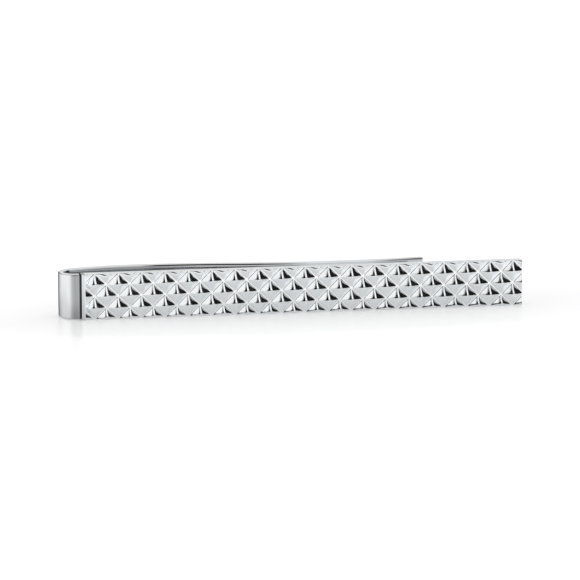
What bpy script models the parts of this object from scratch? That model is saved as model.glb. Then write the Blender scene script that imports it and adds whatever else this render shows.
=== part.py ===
"""A slide-on tie clip: a patterned front bar and a spring strip that folds back behind it.

Frame: +X runs along the bar from the fold to the open end, -Y is the patterned front,
+Z is up across the bar's width, and z = 0 is the long lower edge that it stands on.
The origin is the middle of the bounding box, at its bottom.
"""

import math

import bmesh
import bpy
from mathutils import Matrix, Vector

MM = 0.001

# The pattern: square pyramids set on their points, in rows half a pyramid apart
HALF_PITCH = 1.340 * MM  # from a pyramid's centre to its corner
RELIEF = 0.70 * MM  # from the valleys to the points
FIELD_HALF_PITCHES = 37.6  # length of the patterned bar, in half pitches
WIDTH_HALF_PITCHES = 3.8  # width of the bar, in half pitches
FIRST_CENTRE = 0.777  # from the bar's left end to the first pyramid beside the middle row

# The bar and the strip
BASE = 1.1 * MM  # metal behind the valleys
STRIP = 1.0 * MM  # thickness of the spring strip
NOSE = 0.75 * MM  # thickness at the nose of the fold, where it is thinned to bend
STRIP_SET_BACK = 0.45 * MM  # the strip's plain front, behind the pyramids' points
EDGE = 0.1 * MM  # chamfer along the strip's edges
SEAM = 0.02 * MM  # between the bar's end and the strip
FLEX_GAP = 0.05 * MM  # between two stretches of the strip that flex

# The strip's course, as (name, length, turn in degrees), from the seam to its free tip.
# A positive turn bends it away from the bar.
FOLD_RADIUS = 1.68 * MM  # of the strip's middle line
RISE_ANGLE = 13.0
FALL_ANGLE = 8.8
LIP_ANGLE = 10.0


def arc(radius, degrees):
    """Length of an arc."""
    return radius * math.radians(degrees)


COURSE = (
    ("front_leg", 0.76 * MM, 0.0),
    ("front_quarter", arc(FOLD_RADIUS, 90.0), -90.0),
    ("rear_quarter", arc(FOLD_RADIUS, 90.0 - RISE_ANGLE), RISE_ANGLE - 90.0),
    ("rise", 7.6 * MM, -RISE_ANGLE),
    ("fall", 10.9 * MM, -FALL_ANGLE),
    ("settle", 10.9 * MM, FALL_ANGLE),
    ("land", 2.2 * MM, 0.0),
    ("lip", 9.1 * MM, LIP_ANGLE),
)

# Where the strip flexes, as a length from the fold's nose
ROOT_FLEX = 10.7 * MM
MIDDLE_FLEX = 24.2 * MM

# How finely the curves are divided
FACET_TURN = math.radians(9.0)
FACET_LENGTH = 1.8 * MM

WIDTH = WIDTH_HALF_PITCHES * HALF_PITCH
FIELD = FIELD_HALF_PITCHES * HALF_PITCH
BAR_DEPTH = RELIEF + BASE
FREE_END = 10.0 * MM  # stretch of the bar's back beyond the tongue, kept as its own face


def clear_scene():
    for item in list(bpy.data.objects):
        bpy.data.objects.remove(item, do_unlink=True)


def silver(name, roughness):
    """A Principled material for polished silver."""
    material = bpy.data.materials.new(name)
    material.use_nodes = True
    shader = material.node_tree.nodes["Principled BSDF"]
    shader.inputs["Base Color"].default_value = (0.93, 0.93, 0.94, 1.0)
    shader.inputs["Metallic"].default_value = 1.0
    shader.inputs["Roughness"].default_value = roughness
    return material


class Station:
    """A place on the strip's middle line: its point, the way it runs, and its half thickness."""

    def __init__(self, x, y, heading):
        self.x = x
        self.y = y
        self.heading = heading
        self.half = STRIP / 2

    def along(self, length, turn):
        """The station after a straight or an arc of this length and turn (radians)."""
        if abs(turn) < 1e-9:
            step_x = length * math.cos(self.heading)
            step_y = length * math.sin(self.heading)
        else:
            radius = length / turn
            end = self.heading + turn
            step_x = radius * (math.sin(end) - math.sin(self.heading))
            step_y = radius * (math.cos(self.heading) - math.cos(end))
        return Station(self.x + step_x, self.y + step_y, self.heading + turn)

    def off(self, distance):
        """The point this far to the outer side, away from the inside of the hairpin."""
        x = self.x - distance * math.sin(self.heading)
        y = self.y + distance * math.cos(self.heading)
        return x, y


class Strip:
    """The strip's middle line as a chain of straights and arcs."""

    def __init__(self, start):
        self.starts = []
        self.marks = {}
        reached = 0.0
        station = start
        for name, length, degrees in COURSE:
            turn = math.radians(degrees)
            self.marks[name] = reached
            self.starts.append((reached, length, turn, station))
            station = station.along(length, turn)
            reached += length
        self.length = reached

    def at(self, distance):
        """The station at this length from the seam."""
        chosen = self.starts[0]
        for entry in self.starts:
            if entry[0] <= distance:
                chosen = entry
        reached, length, turn, station = chosen
        part = distance - reached
        place = station.along(part, turn * part / length)
        place.half = self.thickness(distance) / 2
        return place

    def thickness(self, distance):
        """The strip's thickness: full on both legs, easing down to the nose."""
        nose = self.marks["rear_quarter"]
        reach = nose - self.marks["front_quarter"]
        share = min(abs(distance - nose) / reach, 1.0)
        return STRIP - (STRIP - NOSE) * math.cos(share * math.pi / 2) ** 2

    def stations(self, first, last):
        """Stations from one length to another, closer together where the strip bends."""
        cuts = [first]
        for reached, length, turn, _ in self.starts:
            low = max(reached, first)
            high = min(reached + length, last)
            if high - low < 1e-7:
                continue
            share = (high - low) / length
            steps = max(
                math.ceil(abs(turn) * share / FACET_TURN),
                math.ceil((high - low) / FACET_LENGTH),
            )
            for step in range(1, steps + 1):
                cuts.append(low + (high - low) * step / steps)
        return [self.at(distance) for distance in cuts]


def profile(half):
    """The strip's cross-section as (offset to the outer side, height) corners."""
    lower = [(-half, EDGE), (-half + EDGE, 0.0), (half - EDGE, 0.0), (half, EDGE)]
    upper = [(offset, WIDTH - height) for offset, height in reversed(lower)]
    return lower + upper


def new_object(name, bm, material, parent=None):
    """An object from a bmesh in world coordinates, with its origin on its parent's axis."""
    mesh = bpy.data.meshes.new(name)
    origin = parent.matrix_world.translation if parent else Vector()
    bmesh.ops.recalc_face_normals(bm, faces=bm.faces)
    bmesh.ops.transform(bm, matrix=Matrix.Translation(-origin), verts=bm.verts)
    bm.to_mesh(mesh)
    bm.free()
    mesh.materials.append(material)
    item = bpy.data.objects.new(name, mesh)
    bpy.context.scene.collection.objects.link(item)
    item.parent = parent
    mesh.shade_smooth()
    mesh.set_sharp_from_angle(angle=math.radians(20.0))
    return item


def strip_piece(name, stations, material, parent=None):
    """One rigid stretch of the strip, swept through its stations and capped."""
    bm = bmesh.new()
    rings = []
    for station in stations:
        ring = []
        for offset, height in profile(station.half):
            x, y = station.off(offset)
            ring.append(bm.verts.new((x, y, height)))
        rings.append(ring)
    count = len(rings[0])
    for ring, following in zip(rings, rings[1:]):
        for corner in range(count):
            after = (corner + 1) % count
            bm.faces.new((ring[corner], ring[after], following[after], following[corner]))
    bm.faces.new(rings[0])
    bm.faces.new(rings[-1])
    return new_object(name, bm, material, parent)


def axis(name, x, y, parent=None):
    """An empty on a vertical flexing axis."""
    empty = bpy.data.objects.new(name, None)
    empty.empty_display_size = 2 * MM
    bpy.context.scene.collection.objects.link(empty)
    empty.location = (x, y, 0.0)
    if parent:
        empty.parent = parent
        empty.location = Vector((x, y, 0.0)) - parent.matrix_world.translation
    bpy.context.view_layer.update()
    return empty


def add_pyramid(bm, x, z, front):
    """Four facets that meet in a point at the front, over a square set on its corner."""
    tip = bm.verts.new((x, front, z))
    corners = []
    for quarter in range(4):
        angle = quarter * math.pi / 2
        corner_x = x + HALF_PITCH * math.cos(angle)
        corner_z = z + HALF_PITCH * math.sin(angle)
        corners.append(bm.verts.new((corner_x, front + RELIEF, corner_z)))
    for quarter in range(4):
        bm.faces.new((tip, corners[quarter], corners[(quarter + 1) % 4]))


def trim(bm, point, normal, keep_all=False):
    """Cuts along a plane and drops what lies beyond it, unless everything is kept."""
    geometry = bm.verts[:] + bm.edges[:] + bm.faces[:]
    bmesh.ops.bisect_plane(
        bm,
        geom=geometry,
        dist=1e-8,
        plane_co=point,
        plane_no=normal,
        clear_outer=not keep_all,
    )


def face_bar(material, left, front):
    """The front bar: rows of pyramids cut off straight on all four sides, on a flat base."""
    bm = bmesh.new()
    right = left + FIELD
    back = front + BAR_DEPTH
    columns = math.ceil(FIELD_HALF_PITCHES / 2) + 2
    for row in range(-2, 3):
        first = FIRST_CENTRE if row % 2 else FIRST_CENTRE - 1
        for column in range(columns):
            x = left + (first + 2 * column) * HALF_PITCH
            add_pyramid(bm, x, WIDTH / 2 + row * HALF_PITCH, front)
    bmesh.ops.remove_doubles(bm, verts=bm.verts, dist=1e-6)
    trim(bm, (left, 0, 0), (-1, 0, 0))
    trim(bm, (right, 0, 0), (1, 0, 0))
    trim(bm, (0, 0, 0), (0, 0, -1))
    trim(bm, (0, 0, WIDTH), (0, 0, 1))
    rim = [edge for edge in bm.edges if edge.is_boundary]
    walls = bmesh.ops.extrude_edge_only(bm, edges=rim)["geom"]
    for item in walls:
        if isinstance(item, bmesh.types.BMVert):
            item.co.y = back
    base = [edge for edge in bm.edges if edge.is_boundary]
    bmesh.ops.contextual_create(bm, geom=base)
    trim(bm, (right - FREE_END, 0, 0), (1, 0, 0), keep_all=True)
    bmesh.ops.triangulate(bm, faces=bm.faces)
    return new_object("face_bar", bm, material)


def main():
    clear_scene()
    polished = silver("polished_face", 0.06)
    sprung = silver("polished_strip", 0.08)

    # The strip is laid out from the seam, then everything is centred on the origin.
    strip_y = STRIP_SET_BACK + STRIP / 2
    trial = Strip(Station(0.0, strip_y, math.pi))
    outline = [place.off(place.half) for place in trial.stations(0.0, trial.length)]
    low_x = min(x for x, _ in outline)
    high_y = max(y for _, y in outline)
    left = (SEAM - low_x - FIELD) / 2
    front = -high_y / 2
    strip = Strip(Station(left - SEAM, front + strip_y, math.pi))

    nose = strip.marks["rear_quarter"]
    root_flex = nose + ROOT_FLEX
    middle_flex = nose + MIDDLE_FLEX
    fold_axis = axis("fold_axis", *strip.at(nose).off(0.0))
    root_axis = axis("root_axis", *strip.at(root_flex).off(0.0), parent=fold_axis)
    middle_axis = axis("middle_axis", *strip.at(middle_flex).off(0.0), parent=root_axis)

    face_bar(polished, left, front)
    half_gap = FLEX_GAP / 2
    fold_end = strip.marks["rise"]
    stretches = (
        ("fold_front", 0.0, nose - half_gap, None),
        ("fold_rear", nose + half_gap, fold_end, fold_axis),
        ("tongue_root", fold_end + SEAM, root_flex - half_gap, fold_axis),
        ("tongue_middle", root_flex + half_gap, middle_flex - half_gap, root_axis),
        ("tongue_tip", middle_flex + half_gap, strip.length, middle_axis),
    )
    for name, first, last, parent in stretches:
        strip_piece(name, strip.stations(first, last), sprung, parent)


main()
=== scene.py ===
"""Looks for the slide-on tie clip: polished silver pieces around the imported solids.

Frame: +X runs along the bar from the fold to the open end, -Y is the patterned front, +Z is up.
"""

import math

import bmesh
import bpy
from mathutils import Matrix, Vector


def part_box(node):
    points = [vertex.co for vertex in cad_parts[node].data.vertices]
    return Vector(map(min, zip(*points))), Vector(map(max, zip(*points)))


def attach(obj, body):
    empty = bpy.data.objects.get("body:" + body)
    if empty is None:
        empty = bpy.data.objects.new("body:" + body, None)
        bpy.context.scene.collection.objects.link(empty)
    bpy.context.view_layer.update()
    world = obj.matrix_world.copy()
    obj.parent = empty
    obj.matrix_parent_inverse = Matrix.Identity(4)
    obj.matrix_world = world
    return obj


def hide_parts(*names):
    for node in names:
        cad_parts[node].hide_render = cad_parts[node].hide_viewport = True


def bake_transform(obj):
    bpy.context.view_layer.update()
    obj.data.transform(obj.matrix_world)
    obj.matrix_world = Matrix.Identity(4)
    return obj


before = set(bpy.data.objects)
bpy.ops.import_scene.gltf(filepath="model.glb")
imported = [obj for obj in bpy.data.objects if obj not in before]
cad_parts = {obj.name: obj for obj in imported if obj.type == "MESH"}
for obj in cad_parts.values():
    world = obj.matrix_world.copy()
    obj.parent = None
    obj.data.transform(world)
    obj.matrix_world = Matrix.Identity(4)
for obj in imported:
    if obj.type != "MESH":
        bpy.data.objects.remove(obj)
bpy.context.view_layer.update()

MM = 0.001
WELD = 2e-6  # vertices closer than this are joined
CUT_TOLERANCE = 1e-8

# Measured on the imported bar
BAR_LOW, BAR_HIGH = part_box("face_bar")
LEFT = BAR_LOW.x
RIGHT = BAR_HIGH.x
FRONT = BAR_LOW.y
BACK = BAR_HIGH.y
WIDTH = BAR_HIGH.z
MIDDLE_Z = WIDTH / 2

# The pattern, in half pitches unless it says otherwise
WIDTH_IN_HALF_PITCHES = 3.8
HALF_PITCH = WIDTH / WIDTH_IN_HALF_PITCHES
RELIEF = 0.70 * MM
FIRST_CENTRE = 0.777  # from the fold end to the first point of the odd rows
RIDGE_SOFTNESS = 0.056  # rounding along a pyramid's ridges
POINT_SOFTNESS = (0.05, 0.04)  # more of it near the point: across X, and across Z
POINT_REACH = 0.39
GROOVE_FLOOR = 0.095  # half width of the flat valley floor
GROOVE_FOOT = 0.055  # width of the rounding beside it
VALLEY_FROM = 0.86  # where the painted highlight, a brighter tone towards the valleys, begins
VALLEY_EASE = 0.12
# where a pyramid's rings of vertices lie, and how each side of a ring is divided
RINGS = (0.03, 0.07, 0.12, 0.18, 0.26, 0.38, 0.54, 0.70, 0.80, 0.84, 0.865, 0.89, 0.915, 0.96, 1.0)
SIDE_STEPS = (0.0, 0.02, 0.05, 0.10, 0.20, 0.35, 0.50, 0.65, 0.80, 0.90, 0.95, 0.98)

# The bar's edges
EDGE_ROUNDING = (0.42 * MM, 0.13 * MM)  # in from the long edges, and back at the edge
EDGE_FLATTENING = 0.42  # share of the relief lost at the long edges
EDGE_STEPS = (0.2, 0.4, 0.6, 0.8, 1.0)  # where the rounded zone is divided, as shares of it
END_BEVEL = (0.10 * MM, 0.50 * MM)  # in from the open end, and back from the points
LONG_BEVEL = (0.03 * MM, 0.50 * MM)  # in from the long edges, and back from the points
BOTTOM = -0.13 * MM  # the patterned bar reaches a little lower than the strip
PATTERN_START = LEFT - 0.06 * MM
RIM = 0.42 * MM  # how far the plain bevelled rim reaches past the solid's fold end
RIM_DEPTHS = (0.50 * MM, 0.12 * MM)  # back from the points at its outer and inner sides
RIM_TUCK = 0.01 * MM  # how far the rim runs into the pattern
RIM_CORNER = 0.035 * MM
RIM_SHADE = 0.30  # how much painted shade darkens the rim
BACK_BEVEL = 0.10 * MM

# The strip
STRIP = 1.0 * MM  # thickness
NOSE = 0.75 * MM  # thickness at the outside of the fold
STRIP_SET_BACK = 0.45 * MM
STRIP_GAP = 0.02 * MM
STRIP_CORNER = 0.13 * MM  # radius along the strip's long edges
LEAST_CORNER = 0.03 * MM
STRIP_CROWN = 0.012 * MM  # how far the strip's outer face bulges at mid width
INNER_CROWN = 0.10 * MM  # how far its inner face falls back towards the long edges
SHOULDER = (0.42 * MM, 0.10 * MM)  # the rounding of its start: along it and in thickness
START_MARGIN = 1.1  # the plain rings begin this far past the shoulder, as a share of it
TIP = (0.12 * MM, 0.08 * MM, 0.10 * MM)  # of its end: along it, in thickness and in width
TIP_REACH = 0.10 * MM  # how far the drawn tip runs on
STRIP_RISE = 0.05 * MM  # how much the tongue's top edge stands above the bar's
RISE_FROM = -25.0 * MM
RISE_OVER = 4.0 * MM
FOLD_STEP = 0.10 * MM
TONGUE_STEP = 0.25 * MM
SIDE_PARTS = 16
CORNER_PARTS = 5
END_PARTS = 8

# How dark the strip is. These painted tones stand in for reflections of dark things
SEAM_SHADE = 0.20 * MM  # stretch beside the seam that stays dark
LINE_DEPTH = 0.04 * MM  # how far the dark line on the inner face reaches below the corner
CORNER_TAKEN = (0.6, 0.9)  # share of the corner that goes with the top line, and with a face
# against millimetres from the seam, on the outer face
LEG_SHADE = (
    (0.65, 0.60), (1.20, 0.20), (2.00, 0.20), (2.35, 0.34), (2.60, 0.55), (2.85, 0.90),
    (3.40, 0.90), (3.80, 0.30), (5.60, 0.0),
)
# against millimetres across the clip, on the inner face and on the line along its top
FACE_SHADE = ((-22.5, 0.50), (-15.0, 0.40), (-10.0, 0.10), (0.0, 0.05), (9.5, 0.0), (12.0, 0.20))
LINE_SHADE = (
    (-17.0, 0.20), (-15.0, 1.0), (-3.5, 1.0), (0.0, 0.5), (2.5, 0.0), (9.5, 0.0), (12.0, 0.6),
    (14.5, 0.9),
)


def arc(radius, degrees):
    """The length of an arc."""
    return radius * math.radians(degrees)


# The strip's course from the bar: stretch, length and turn in degrees
FRONT_LEG = 0.76 * MM
FOLD_RADIUS = 1.68 * MM
QUARTER = arc(FOLD_RADIUS, 90.0)
COURSE = (
    ("front_leg", FRONT_LEG, 0.0),
    ("front_quarter", QUARTER, -90.0),
    ("rear_quarter", arc(FOLD_RADIUS, 77.0), -77.0),
    ("rise", 7.6 * MM, -13.0),
    ("fall", 10.9 * MM, -8.8),
    ("settle", 10.9 * MM, 8.8),
    ("land", 2.2 * MM, 0.0),
    ("lip", 9.1 * MM, 10.0),
)
NOSE_AT = FRONT_LEG + QUARTER
ROOT_FLEX = NOSE_AT + 10.7 * MM
MIDDLE_FLEX = NOSE_AT + 24.2 * MM
ROOT_SPLIT = NOSE_AT + 5.0 * MM
MIDDLE_SPLIT = NOSE_AT + 17.4 * MM

# The metal
SILVER_TONES = ((0.885, 0.910, 0.930, 1.0), (0.915, 0.940, 0.955, 1.0))
# painted highlight: the pattern's valleys are made brighter with this tone
PAINTED_VALLEY_HIGHLIGHT = (0.98, 0.99, 1.0, 1.0)
SHADE_TONE = (0.04, 0.04, 0.045, 1.0)
WHITE = (1.0, 1.0, 1.0, 1.0)
CLOUD_SCALE = 260.0
SWELL_SCALE = 700.0
ROUGH_SCALE = 900.0
LINE_WEIGHT = 0.03  # how much the polishing lines count in roughness and height

# The floor
FLOOR_RADIUS = 1.4
FLOOR_ROUGHNESS = 0.30
FLOOR_TONES = ((0.86, 0.86, 0.86, 1.0), (0.89, 0.89, 0.89, 1.0))
FLOOR_GLOW = (0.15, 0.43)  # painted glow of the sheet, near the clip and away from it; weaker near it, a painted shadow
FLOOR_WHITE = (0.26, 0.35)  # the least painted glow that only the camera sees, near and away; lower near the clip, a painted shadow
SHADED = (52.0 * MM, 16.0 * MM)  # half length and half width of the painted shadow round it

# The room: azimuth from and to, elevation from and to, softness (degrees), brightness
ROOM = (
    (-105, -43, -20, 46, 5, 0.98),  # lamp, front left
    (-42.5, -14, -20, 38.5, 1.5, 0.01),  # dark stand, front left
    (-16, 2, 13, 39.5, 2, 0.02),  # the camera
    (-14, 8, -20, 12, 3, 0.50),  # the table under it
    (6, 57.5, 26, 40, 3, 1.15),  # lamp, front right
    (6, 57.5, -20, 25, 3, 0.52),  # the grey wall under that lamp
    (57.5, 96, -20, 36, 1, 0.01),  # dark screen on the right
)
TENT = (0.74, 0.80)  # brightness of the tent at the horizon and overhead

# The camera. Elevation and lens are chosen, and the rest is fitted to the rows of the pattern
VIEW_AZIMUTH = -9.067
VIEW_ELEVATION = 11.2
VIEW_ROLL = -0.16
VIEW_DISTANCE = 0.51453
VIEW_TARGET = Vector((0.00002, 0.0, 0.00207))
LENS = 279.3


# ---------------------------------------------------------------- nodes

def link(tree, source, target):
    tree.links.new(source, target)


def noise(tree, vector, scale, detail=2.0, roughness=0.5):
    node = tree.nodes.new("ShaderNodeTexNoise")
    node.inputs["Scale"].default_value = scale
    node.inputs["Detail"].default_value = detail
    node.inputs["Roughness"].default_value = roughness
    link(tree, vector, node.inputs["Vector"])
    return node.outputs["Fac"]


def stretched(tree, vector, scale):
    """The vector, scaled along each axis."""
    node = tree.nodes.new("ShaderNodeMapping")
    node.inputs["Scale"].default_value = scale
    link(tree, vector, node.inputs["Vector"])
    return node.outputs["Vector"]


def ranged(tree, value, from_low, from_high, to_low, to_high, smooth=False):
    """The value moved from one range to another, and kept inside it."""
    node = tree.nodes.new("ShaderNodeMapRange")
    node.interpolation_type = "SMOOTHSTEP" if smooth else "LINEAR"
    for name, number in (
        ("From Min", from_low), ("From Max", from_high), ("To Min", to_low), ("To Max", to_high),
    ):
        node.inputs[name].default_value = number
    link(tree, value, node.inputs["Value"])
    return node.outputs["Result"]


def arithmetic(tree, operation, *values):
    """One operation on numbers and sockets."""
    node = tree.nodes.new("ShaderNodeMath")
    node.operation = operation
    for socket, value in zip(node.inputs, values):
        if isinstance(value, (int, float)):
            socket.default_value = value
        else:
            link(tree, value, socket)
    return node.outputs[0]


def mixed(tree, factor, first, second):
    """A colour between two colours or sockets."""
    node = tree.nodes.new("ShaderNodeMix")
    node.data_type = "RGBA"
    link(tree, factor, node.inputs["Factor"])
    for socket, value in ((node.inputs["A"], first), (node.inputs["B"], second)):
        if isinstance(value, tuple):
            socket.default_value = value
        else:
            link(tree, value, socket)
    return node.outputs["Result"]


def silver(name, roughness, lines, waviness, painted_light_tone):
    """Polished silver: cloudy tone, fine polishing lines and a slightly uneven surface.

    It takes the painted tone where the mesh's painted light attribute is one: a painted highlight
    in the bar's valleys, and painted shade on the rim and the strip, in base colour and specular
    tint.
    """
    material = bpy.data.materials.new(name)
    material.use_nodes = True
    tree = material.node_tree
    shader = tree.nodes["Principled BSDF"]
    shader.inputs["Metallic"].default_value = 1.0
    place = tree.nodes.new("ShaderNodeTexCoord").outputs["Object"]
    cloud = ranged(tree, noise(tree, place, CLOUD_SCALE, 3.0), 0.35, 0.65, 0.0, 1.0, smooth=True)
    colour = mixed(tree, cloud, *SILVER_TONES)
    # painted highlight and painted shade: base colour and specular tint move to the painted tone
    # where this attribute is one
    attribute = tree.nodes.new("ShaderNodeAttribute")
    attribute.attribute_name = "painted_light"
    colour = mixed(tree, attribute.outputs["Fac"], colour, painted_light_tone)
    tint = mixed(tree, attribute.outputs["Fac"], WHITE, painted_light_tone)
    link(tree, colour, shader.inputs["Base Color"])
    link(tree, tint, shader.inputs["Specular Tint"])
    streak = noise(tree, stretched(tree, place, lines), scale=1.0, roughness=0.6)
    fine = ranged(tree, streak, 0.42, 0.66, 0.0, 1.0)
    rough = ranged(tree, noise(tree, place, ROUGH_SCALE, 4.0), 0.3, 0.7, *roughness)
    rough = arithmetic(tree, "MULTIPLY_ADD", fine, LINE_WEIGHT, rough)
    link(tree, rough, shader.inputs["Roughness"])
    swell = noise(tree, place, SWELL_SCALE, 2.0)
    height = arithmetic(tree, "MULTIPLY_ADD", fine, LINE_WEIGHT, swell)
    bump = tree.nodes.new("ShaderNodeBump")
    bump.inputs["Strength"].default_value = 1.0
    bump.inputs["Distance"].default_value = waviness
    link(tree, height, bump.inputs["Height"])
    link(tree, bump.outputs["Normal"], shader.inputs["Normal"])
    return material


# ---------------------------------------------------------------- the patterned bar

def soft_size(value, other, more):
    """The size of value, rounded at zero, and rounded more where other is small."""
    softness = RIDGE_SOFTNESS + more * math.exp(-(other / POINT_REACH) ** 2)
    return math.hypot(value, softness) - softness / 2


def slope_depth(a, b):
    """Depth below the points, as a share of the relief, at half pitches from the middle."""
    level = soft_size(a, b, POINT_SOFTNESS[0]) + soft_size(b, a, POINT_SOFTNESS[1])
    left = 1.0 - level - GROOVE_FLOOR
    if left >= GROOVE_FOOT:
        return level
    left = max(left, 0.0)
    return 1.0 - GROOVE_FLOOR - GROOVE_FOOT / 2 - left * left / (2 * GROOVE_FOOT)


def edge_change(y, z):
    """How far the front moves where the bar's long edges are rounded over and flattened."""
    inward, back = EDGE_ROUNDING
    near = min(max(inward - min(z - BOTTOM, WIDTH - z), 0.0) / inward, 1.0)
    return back * near ** 2 + (FRONT + RELIEF / 2 - y) * EDGE_FLATTENING * near ** 2


def add_cell(bm, painted_light, x, z):
    """One pyramid: rings of vertices from its point out to the valleys."""
    corners = [(1.0, 0.0), (0.0, 1.0), (-1.0, 0.0), (0.0, -1.0)]
    loop = []
    for quarter in range(4):
        here = corners[quarter]
        there = corners[(quarter + 1) % 4]
        for step in SIDE_STEPS:
            loop.append((
                here[0] + (there[0] - here[0]) * step,
                here[1] + (there[1] - here[1]) * step,
            ))

    def vertex(a, b):
        depth = slope_depth(a, b)
        made = bm.verts.new((x + a * HALF_PITCH, FRONT + depth * RELIEF, z + b * HALF_PITCH))
        # painted highlight: brighter towards the valleys
        made[painted_light] = min(max((abs(a) + abs(b) - VALLEY_FROM) / VALLEY_EASE, 0.0), 1.0)
        return made

    inner = None
    for ring in RINGS:
        outer = [vertex(a * ring, b * ring) for a, b in loop]
        if inner is None:
            centre = vertex(0.0, 0.0)
            for index, item in enumerate(outer):
                bm.faces.new((centre, item, outer[(index + 1) % len(outer)]))
        else:
            for index, item in enumerate(outer):
                after = (index + 1) % len(outer)
                bm.faces.new((inner[index], item, outer[after], inner[after]))
        inner = outer


def cut(bm, point, normal, closed=True):
    """Cuts with a plane, drops what lies beyond and closes it with a flat, sharp-edged face."""
    geometry = bm.verts[:] + bm.edges[:] + bm.faces[:]
    bmesh.ops.bisect_plane(
        bm, geom=geometry, dist=CUT_TOLERANCE, plane_co=point, plane_no=normal, clear_outer=True,
    )
    if closed:
        rim = [edge for edge in bm.edges if edge.is_boundary]
        bmesh.ops.contextual_create(bm, geom=rim)
        for edge in rim:
            edge.smooth = False


def finish_object(name, bm, material):
    """Turns the mesh under construction into an object with its first material."""
    mesh = bpy.data.meshes.new(name)
    bmesh.ops.recalc_face_normals(bm, faces=bm.faces)
    bm.to_mesh(mesh)
    bm.free()
    mesh.materials.append(material)
    item = bpy.data.objects.new(name, mesh)
    bpy.context.scene.collection.objects.link(item)
    return item


def add_rim(bm, painted_light):
    """The plain rim at the fold end, bevelled back towards the strip."""
    outer, inner = RIM_DEPTHS
    outline = (
        (LEFT - RIM, BACK),
        (LEFT - RIM, FRONT + outer),
        (PATTERN_START, FRONT + inner),
        (PATTERN_START + RIM_TUCK, FRONT + inner),
        (PATTERN_START + RIM_TUCK, BACK),
    )
    rings = [[bm.verts.new((x, y, z)) for x, y in outline] for z in (BOTTOM, WIDTH)]
    faces = [bm.faces.new(ring) for ring in rings]
    for index in range(len(outline)):
        after = (index + 1) % len(outline)
        faces.append(bm.faces.new(
            (rings[0][index], rings[0][after], rings[1][after], rings[1][index]),
        ))
    edges = list({edge for face in faces for edge in face.edges})
    bmesh.ops.bevel(bm, geom=edges, offset=RIM_CORNER, segments=2, affect="EDGES")
    # painted shade: the rim faces take the strip's material and RIM_SHADE of its dark tone
    for face in bm.faces:
        if face.calc_center_median().x < PATTERN_START:
            face.material_index = 1
            for vertex in face.verts:
                vertex[painted_light] = RIM_SHADE


def patterned_face(material, rim_material):
    """The bar: rows of soft-edged pyramids on a solid base, cut off straight and bevelled."""
    bm = bmesh.new()
    painted_light = bm.verts.layers.float.new("painted_light")
    columns = math.ceil((RIGHT - LEFT) / HALF_PITCH / 2) + 2
    for row in range(-2, 3):
        first = FIRST_CENTRE if row % 2 else FIRST_CENTRE - 1
        for column in range(columns):
            x = LEFT + (first + 2 * column) * HALF_PITCH
            if x < RIGHT + HALF_PITCH:
                add_cell(bm, painted_light, x, MIDDLE_Z + row * HALF_PITCH)
    bmesh.ops.remove_doubles(bm, verts=bm.verts, dist=WELD)
    cut(bm, (0, 0, BOTTOM), (0, 0, -1), closed=False)
    cut(bm, (0, 0, WIDTH), (0, 0, 1), closed=False)
    for part in EDGE_STEPS:
        for z in (BOTTOM + part * EDGE_ROUNDING[0], WIDTH - part * EDGE_ROUNDING[0]):
            geometry = bm.verts[:] + bm.edges[:] + bm.faces[:]
            bmesh.ops.bisect_plane(
                bm, geom=geometry, dist=CUT_TOLERANCE, plane_co=(0, 0, z), plane_no=(0, 0, 1),
            )
    for vertex in bm.verts:
        vertex.co.y += edge_change(vertex.co.y, vertex.co.z)
    for face in bm.faces:
        face.smooth = True
    rim = [edge for edge in bm.edges if edge.is_boundary]
    walls = bmesh.ops.extrude_edge_only(bm, edges=rim)["geom"]
    for item in walls:
        if isinstance(item, bmesh.types.BMVert):
            item.co.y = BACK
    base = [edge for edge in bm.edges if edge.is_boundary]
    bmesh.ops.contextual_create(bm, geom=base)
    middle = (LEFT + RIGHT) / 2
    cut(bm, (PATTERN_START, 0, 0), (-1, 0, 0))
    cut(bm, (RIGHT, 0, 0), (1, 0, 0))
    inward, back = END_BEVEL
    cut(bm, (RIGHT, FRONT + back, 0), Vector((back, -inward, 0)).normalized())
    cut(bm, (RIGHT, BACK - BACK_BEVEL, 0), Vector((1, 1, 0)).normalized())
    for z, side in ((BOTTOM, -1), (WIDTH, 1)):
        inward, back = LONG_BEVEL
        cut(bm, (middle, FRONT + back, z), Vector((0, -inward, side * back)).normalized())
        cut(bm, (middle, BACK - BACK_BEVEL, z), Vector((0, 1, side)).normalized())
    add_rim(bm, painted_light)
    item = finish_object("patterned_face", bm, material)
    item.data.materials.append(rim_material)
    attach(item, "bar")
    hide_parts("face_bar")


# ---------------------------------------------------------------- the spring strip

def travelled(x, y, heading, length, turn):
    """The place after a straight or an arc of this length and turn (radians)."""
    if abs(turn) < 1e-9:
        return x + length * math.cos(heading), y + length * math.sin(heading), heading
    radius = length / turn
    end = heading + turn
    return (
        x + radius * (math.sin(end) - math.sin(heading)),
        y + radius * (math.cos(heading) - math.cos(end)),
        end,
    )


def place_at(distance):
    """The strip's middle line at a length from the bar: x, y, heading and half thickness."""
    x = LEFT - STRIP_GAP
    y = FRONT + STRIP_SET_BACK + STRIP / 2
    heading = math.pi
    reached = 0.0
    for _, length, degrees in COURSE:
        part = min(distance - reached, length)
        x, y, heading = travelled(x, y, heading, part, math.radians(degrees) * part / length)
        reached += part
        if reached >= distance - 1e-12:
            break
    share = min(abs(distance - NOSE_AT) / QUARTER, 1.0)
    thickness = STRIP - (STRIP - NOSE) * math.cos(share * math.pi / 2) ** 2
    return x, y, heading, thickness / 2


def between(value, points):
    """A straight-line reading of value against pairs of (place, amount)."""
    for (low, first), (high, second) in zip(points, points[1:]):
        if value <= high:
            share = min(max((value - low) / (high - low), 0.0), 1.0)
            return first + (second - first) * share
    return points[-1][1]


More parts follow.
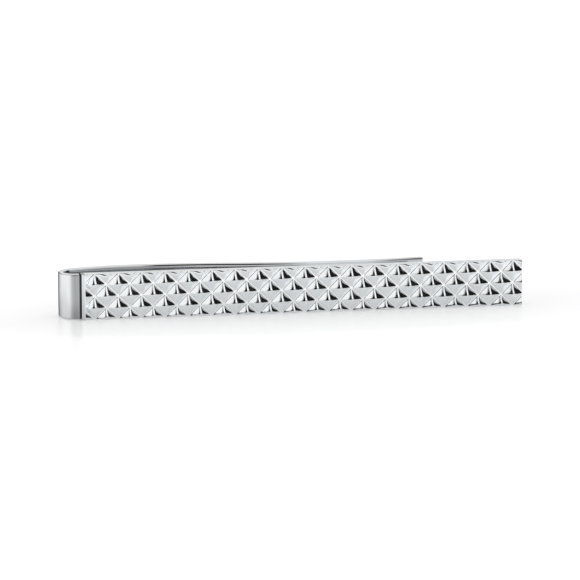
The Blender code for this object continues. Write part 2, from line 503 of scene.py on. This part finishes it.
def strip_shade(distance, x, offset, height, half):
    """How much painted shade the strip takes at one place: the seam, the leg beside it and the
    inner face.
    """
    past_seam = distance - RIM
    if past_seam < SEAM_SHADE:
        return 1.0
    line_part, face_part = (STRIP_CORNER * share for share in CORNER_TAKEN)
    near_top = height > WIDTH - STRIP_CORNER - LINE_DEPTH / 2
    if near_top and offset < INNER_CROWN + line_part - half:
        return between(x / MM, LINE_SHADE)
    if offset < face_part - half:
        return between(x / MM, FACE_SHADE)
    if offset > half - face_part:
        return between(past_seam / MM, LEG_SHADE)
    return 0.0


def section(half, inset, inset_z):
    """The strip's cross-section as (offset to the outer side, height), with round corners."""
    corner = max(STRIP_CORNER - inset, LEAST_CORNER)
    low = inset_z
    high = WIDTH - inset_z
    reach = half - inset
    corners = [math.radians(90.0 * part / CORNER_PARTS) for part in range(1, CORNER_PARTS)]
    first = low + corner
    last = high - corner
    heights = [first + (last - first) * part / SIDE_PARTS for part in range(SIDE_PARTS + 1)]
    heights[1:1] = [first + LINE_DEPTH]
    heights[-1:-1] = [last - LINE_DEPTH]

    def side(fall, power):
        """One face from its lower corner to its upper one, seen as if it faced outwards."""
        turn = reach - fall - corner
        lower = [(turn, low)]
        lower += [(turn + corner * math.sin(a), first - corner * math.cos(a)) for a in corners]
        face = []
        for height in heights:
            share = abs(2 * (height - first) / (last - first) - 1)
            face.append((reach - fall * share ** power, height))
        upper = [(offset, high + low - height) for offset, height in reversed(lower)]
        return lower + face + upper

    inner = [(-offset, height) for offset, height in reversed(side(INNER_CROWN, power=4))]
    return side(STRIP_CROWN, power=2) + inner


def rounded_start(first):
    """Distances and insets that ease the strip's start back."""
    reach, back = SHOULDER
    angles = [part * math.pi / 2 / END_PARTS for part in range(END_PARTS + 1)]
    return [(first + reach * (1 - math.cos(a)), back * (1 - math.sin(a)), 0.0) for a in angles]


def rounded_tip(last):
    """Distances and insets that round the strip's end."""
    length, thin, narrow = TIP
    places = []
    for part in range(END_PARTS + 1):
        angle = part * math.pi / 2 / END_PARTS
        shrink = 1 - math.cos(angle)
        places.append((last - length * (1 - math.sin(angle)), thin * shrink, narrow * shrink))
    return places


def strip_object(name, first, last, step, material, round_tip=False, soft_start=False):
    """A stretch of the strip, swept along the course, closed at both ends."""
    bm = bmesh.new()
    count = max(2, math.ceil((last - first) / step))
    places = [(first + (last - first) * index / count, 0.0, 0.0) for index in range(count + 1)]
    if soft_start:
        eased_to = first + SHOULDER[0] * START_MARGIN
        places = rounded_start(first) + [place for place in places if place[0] > eased_to]
    if round_tip:
        rounded_from = last - TIP[0] - 1e-9
        places = [place for place in places if place[0] < rounded_from] + rounded_tip(last)
    painted_light = bm.verts.layers.float.new("painted_light")
    rings = []
    for distance, inset, inset_z in places:
        x, y, heading, half = place_at(distance)
        ring = []
        lift = STRIP_RISE * min(max((x - RISE_FROM) / RISE_OVER, 0.0), 1.0)
        for offset, height in section(half, inset, inset_z):
            made = bm.verts.new((
                x - offset * math.sin(heading),
                y + offset * math.cos(heading),
                height * (1 + lift / WIDTH),
            ))
            # painted shade, standing in for reflections of dark things
            made[painted_light] = strip_shade(distance, x, offset, height, half)
            ring.append(made)
        rings.append(ring)
    size = len(rings[0])
    for ring, following in zip(rings, rings[1:]):
        for index in range(size):
            after = (index + 1) % size
            face = bm.faces.new((ring[index], ring[after], following[after], following[index]))
            face.smooth = True
    for ring in (rings[0], rings[-1]):
        cap = bm.faces.new(ring)
        for edge in cap.edges:
            edge.smooth = False
    return finish_object(name, bm, material)


def strip_pieces(material):
    """Three stretches of the strip, split away from the flex points; each tongue stretch spans one
    of them.
    """
    whole = sum(length for _, length, _ in COURSE)
    fold = strip_object("return_fold", RIM, ROOT_SPLIT, FOLD_STEP, material, soft_start=True)
    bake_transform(fold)
    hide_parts("fold_front", "fold_rear")
    bow = strip_object("tongue_bow", ROOT_SPLIT, MIDDLE_SPLIT, TONGUE_STEP, material)
    end = strip_object(
        "tongue_end", MIDDLE_SPLIT, whole + TIP_REACH, TONGUE_STEP, material, round_tip=True,
    )
    for item, before, after, flex in (
        (bow, "root", "middle", ROOT_FLEX),
        (end, "middle", "tip", MIDDLE_FLEX),
    ):
        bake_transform(item)
    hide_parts("tongue_root", "tongue_middle")
    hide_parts("tongue_tip")


# ---------------------------------------------------------------- floor, light and camera

def floor():
    """A white sheet with a painted glow, brighter away from the clip: a painted shadow round the
    clip, and more glow that only the camera sees.
    """
    bm = bmesh.new()
    bmesh.ops.create_circle(bm, cap_ends=True, radius=FLOOR_RADIUS, segments=96)
    material = bpy.data.materials.new("pale_floor")
    material.use_nodes = True
    tree = material.node_tree
    shader = tree.nodes["Principled BSDF"]
    place = tree.nodes.new("ShaderNodeTexCoord").outputs["Object"]
    tone = ranged(tree, noise(tree, place, scale=30.0, detail=3.0), 0.3, 0.7, 0.0, 1.0)
    colour = mixed(tree, tone, *FLOOR_TONES)
    link(tree, colour, shader.inputs["Base Color"])
    shader.inputs["Roughness"].default_value = FLOOR_ROUGHNESS
    shader.inputs["Emission Color"].default_value = WHITE
    length = tree.nodes.new("ShaderNodeVectorMath")
    length.operation = "LENGTH"
    link(tree, stretched(tree, place, (1 / SHADED[0], 1 / SHADED[1], 0.0)), length.inputs[0])
    away = length.outputs["Value"]
    # painted shadow: the glow is weaker near the clip
    glow = ranged(tree, away, 0.55, 1.0, *FLOOR_GLOW, smooth=True)
    pale = ranged(tree, away, 0.2, 1.0, *FLOOR_WHITE, smooth=True)
    # painted light: camera rays alone see the glow raised to FLOOR_WHITE
    seen = tree.nodes.new("ShaderNodeLightPath").outputs["Is Camera Ray"]
    white = arithmetic(tree, "MULTIPLY", seen, pale)
    link(tree, arithmetic(tree, "MAXIMUM", glow, white), shader.inputs["Emission Strength"])
    item = finish_object("floor", bm, material)
    item.location.z = BOTTOM


def facing(azimuth, elevation):
    """Unit vector to a place in the room: azimuth 0 is the front (-Y), 90 the right (+X)."""
    turn = math.radians(azimuth)
    rise = math.radians(elevation)
    level = math.cos(rise)
    return Vector((math.sin(turn) * level, -math.cos(turn) * level, math.sin(rise)))


def within(tree, angle, low, high, soft):
    """One between two angles in degrees, easing to nought outside them."""
    away = arithmetic(tree, "ABSOLUTE", arithmetic(tree, "SUBTRACT", angle, (low + high) / 2))
    half = (high - low) / 2
    return ranged(tree, away, half - soft, half + soft, 1.0, 0.0, smooth=True)


def room():
    """A white tent with lamps and dark screens, for the metal to reflect."""
    world = bpy.data.worlds.new("tent")
    bpy.context.scene.world = world
    world.use_nodes = True
    tree = world.node_tree
    split = tree.nodes.new("ShaderNodeSeparateXYZ")
    link(tree, tree.nodes.new("ShaderNodeTexCoord").outputs["Generated"], split.inputs[0])
    x, y, z = (split.outputs[name] for name in "XYZ")
    turn = arithmetic(tree, "ARCTAN2", x, arithmetic(tree, "MULTIPLY", y, -1.0))
    azimuth = arithmetic(tree, "DEGREES", turn)
    elevation = arithmetic(tree, "DEGREES", arithmetic(tree, "ARCSINE", z))
    shade = ranged(tree, elevation, 0.0, 90.0, *TENT)
    for az_low, az_high, el_low, el_high, soft, tone in ROOM:
        across = within(tree, azimuth, az_low, az_high, soft)
        upward = within(tree, elevation, el_low, el_high, soft)
        node = tree.nodes.new("ShaderNodeMix")
        node.data_type = "FLOAT"
        link(tree, arithmetic(tree, "MULTIPLY", across, upward), node.inputs["Factor"])
        link(tree, shade, node.inputs["A"])
        node.inputs["B"].default_value = tone
        shade = node.outputs["Result"]
    background = tree.nodes["Background"]
    background.inputs["Color"].default_value = WHITE
    link(tree, shade, background.inputs["Strength"])


def camera():
    """A long lens at the front, a little to the left and above."""
    data = bpy.data.cameras.new("camera")
    data.lens = LENS
    data.sensor_width = 36.0
    data.clip_start = 0.01
    data.clip_end = 10.0
    item = bpy.data.objects.new("camera", data)
    bpy.context.scene.collection.objects.link(item)
    back = facing(VIEW_AZIMUTH, VIEW_ELEVATION)
    level = facing(VIEW_AZIMUTH + 90, 0)
    rise = back.cross(level)
    roll = math.radians(VIEW_ROLL)
    right = level * math.cos(roll) + rise * math.sin(roll)
    up = rise * math.cos(roll) - level * math.sin(roll)
    turn = Matrix((right, up, back)).transposed()
    item.matrix_world = Matrix.Translation(VIEW_TARGET + back * VIEW_DISTANCE) @ turn.to_4x4()
    bpy.context.scene.camera = item


# ---------------------------------------------------------------- the scene

FACE_SILVER = silver(
    "cut_silver", (0.05, 0.11), lines=(500.0, 9000.0, 9000.0), waviness=0.6e-6,
    painted_light_tone=PAINTED_VALLEY_HIGHLIGHT,
)
STRIP_SILVER = silver(
    "strip_silver", (0.06, 0.12), lines=(250.0, 12000.0, 12000.0), waviness=1.2e-6,
    painted_light_tone=SHADE_TONE,
)
patterned_face(FACE_SILVER, STRIP_SILVER)
strip_pieces(STRIP_SILVER)
floor()
room()
camera()
bpy.context.scene.view_settings.view_transform = "Standard"
